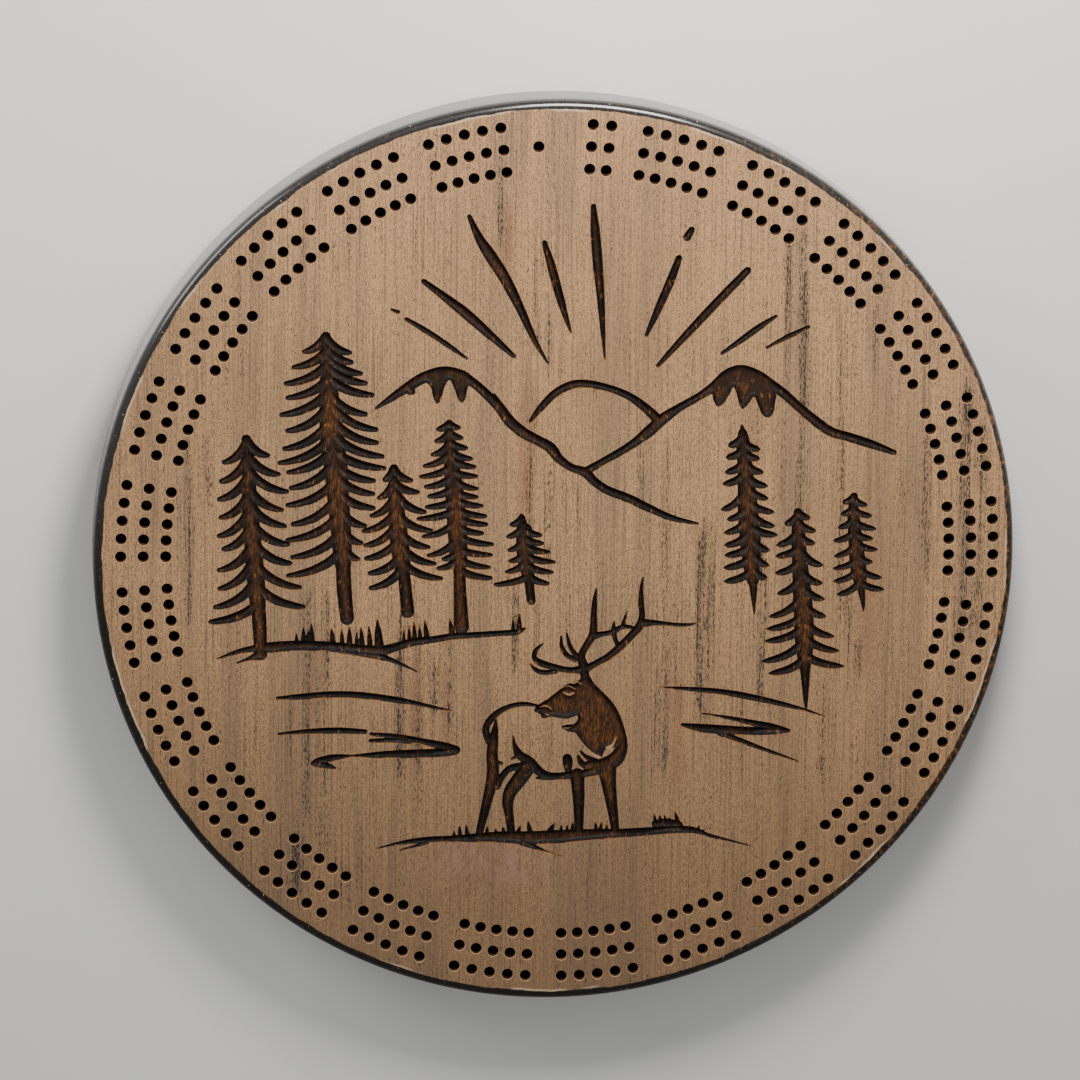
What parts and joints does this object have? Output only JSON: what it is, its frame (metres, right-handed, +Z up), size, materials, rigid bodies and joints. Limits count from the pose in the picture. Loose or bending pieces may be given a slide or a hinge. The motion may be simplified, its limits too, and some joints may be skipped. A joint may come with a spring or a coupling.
{
  "type": "round cribbage board",
  "caption": "Round wooden cribbage board with three peg tracks, a carved elk and mountain scene, rubber feet, and metal pegs kept in a covered pocket underneath.",
  "frame": {"origin": "under the middle of the disc, at the height of the table that its feet stand on", "axes": "+Z up out of the playing face, +Y towards the top of the carved picture and along the grain, +X to the picture's right"},
  "size_m": [0.3048, 0.3048, 0.024],
  "materials": {
    "stained_wood": "satin, greige-brown stain with dark glaze in the carving and a black rounded edge",
    "foot_rubber": "matte",
    "dark_steel": "black zinc",
    "bright_steel": "brushed",
    "brass": "brushed",
    "black_metal": "satin black",
    "washer_nylon": "matte"
  },
  "bodies": {
    "board": {"stave_left": "stained_wood", "stave_mid_left": "stained_wood", "stave_centre": "stained_wood", "stave_mid_right": "stained_wood", "stave_right": "stained_wood", "foot_front_left": "foot_rubber", "foot_front_right": "foot_rubber", "foot_rear_left": "foot_rubber", "foot_rear_right": "foot_rubber", "foot_screws": "dark_steel", "pivot_screw": "dark_steel", "keeper_screw": "dark_steel", "pivot_spacer": "washer_nylon", "pivot_washer": "bright_steel"},
    "cover": {"cover_plate": "brass"},
    "peg_brass_1": {"peg_brass_1": "brass"},
    "peg_brass_2": {"peg_brass_2": "brass"},
    "peg_brass_3": {"peg_brass_3": "brass"},
    "peg_steel_1": {"peg_steel_1": "bright_steel"},
    "peg_steel_2": {"peg_steel_2": "bright_steel"},
    "peg_steel_3": {"peg_steel_3": "bright_steel"},
    "peg_black_1": {"peg_black_1": "black_metal"},
    "peg_black_2": {"peg_black_2": "black_metal"},
    "peg_black_3": {"peg_black_3": "black_metal"}
  },
  "joints": [
    {"name": "cover_swing", "type": "hinge", "parent": "board", "child": "cover", "pos_m": [0, 0.031, 0.0041], "axis": [0, 0, 1], "range_deg": [0, 100]},
    {"name": "peg_brass_1_slide", "type": "slide", "parent": "board", "child": "peg_brass_1", "axis": [0, 1, 0], "range_m": [-0.004, 0.004]},
    {"name": "peg_brass_2_slide", "type": "slide", "parent": "board", "child": "peg_brass_2", "axis": [0, 1, 0], "range_m": [-0.004, 0.004]},
    {"name": "peg_brass_3_slide", "type": "slide", "parent": "board", "child": "peg_brass_3", "axis": [0, 1, 0], "range_m": [-0.004, 0.004]},
    {"name": "peg_steel_1_slide", "type": "slide", "parent": "board", "child": "peg_steel_1", "axis": [0, 1, 0], "range_m": [-0.004, 0.004]},
    {"name": "peg_steel_2_slide", "type": "slide", "parent": "board", "child": "peg_steel_2", "axis": [0, 1, 0], "range_m": [-0.004, 0.004]},
    {"name": "peg_steel_3_slide", "type": "slide", "parent": "board", "child": "peg_steel_3", "axis": [0, 1, 0], "range_m": [-0.004, 0.004]},
    {"name": "peg_black_1_slide", "type": "slide", "parent": "board", "child": "peg_black_1", "axis": [0, 1, 0], "range_m": [-0.004, 0.004]},
    {"name": "peg_black_2_slide", "type": "slide", "parent": "board", "child": "peg_black_2", "axis": [0, 1, 0], "range_m": [-0.004, 0.004]},
    {"name": "peg_black_3_slide", "type": "slide", "parent": "board", "child": "peg_black_3", "axis": [0, 1, 0], "range_m": [-0.004, 0.004]}
  ]
}
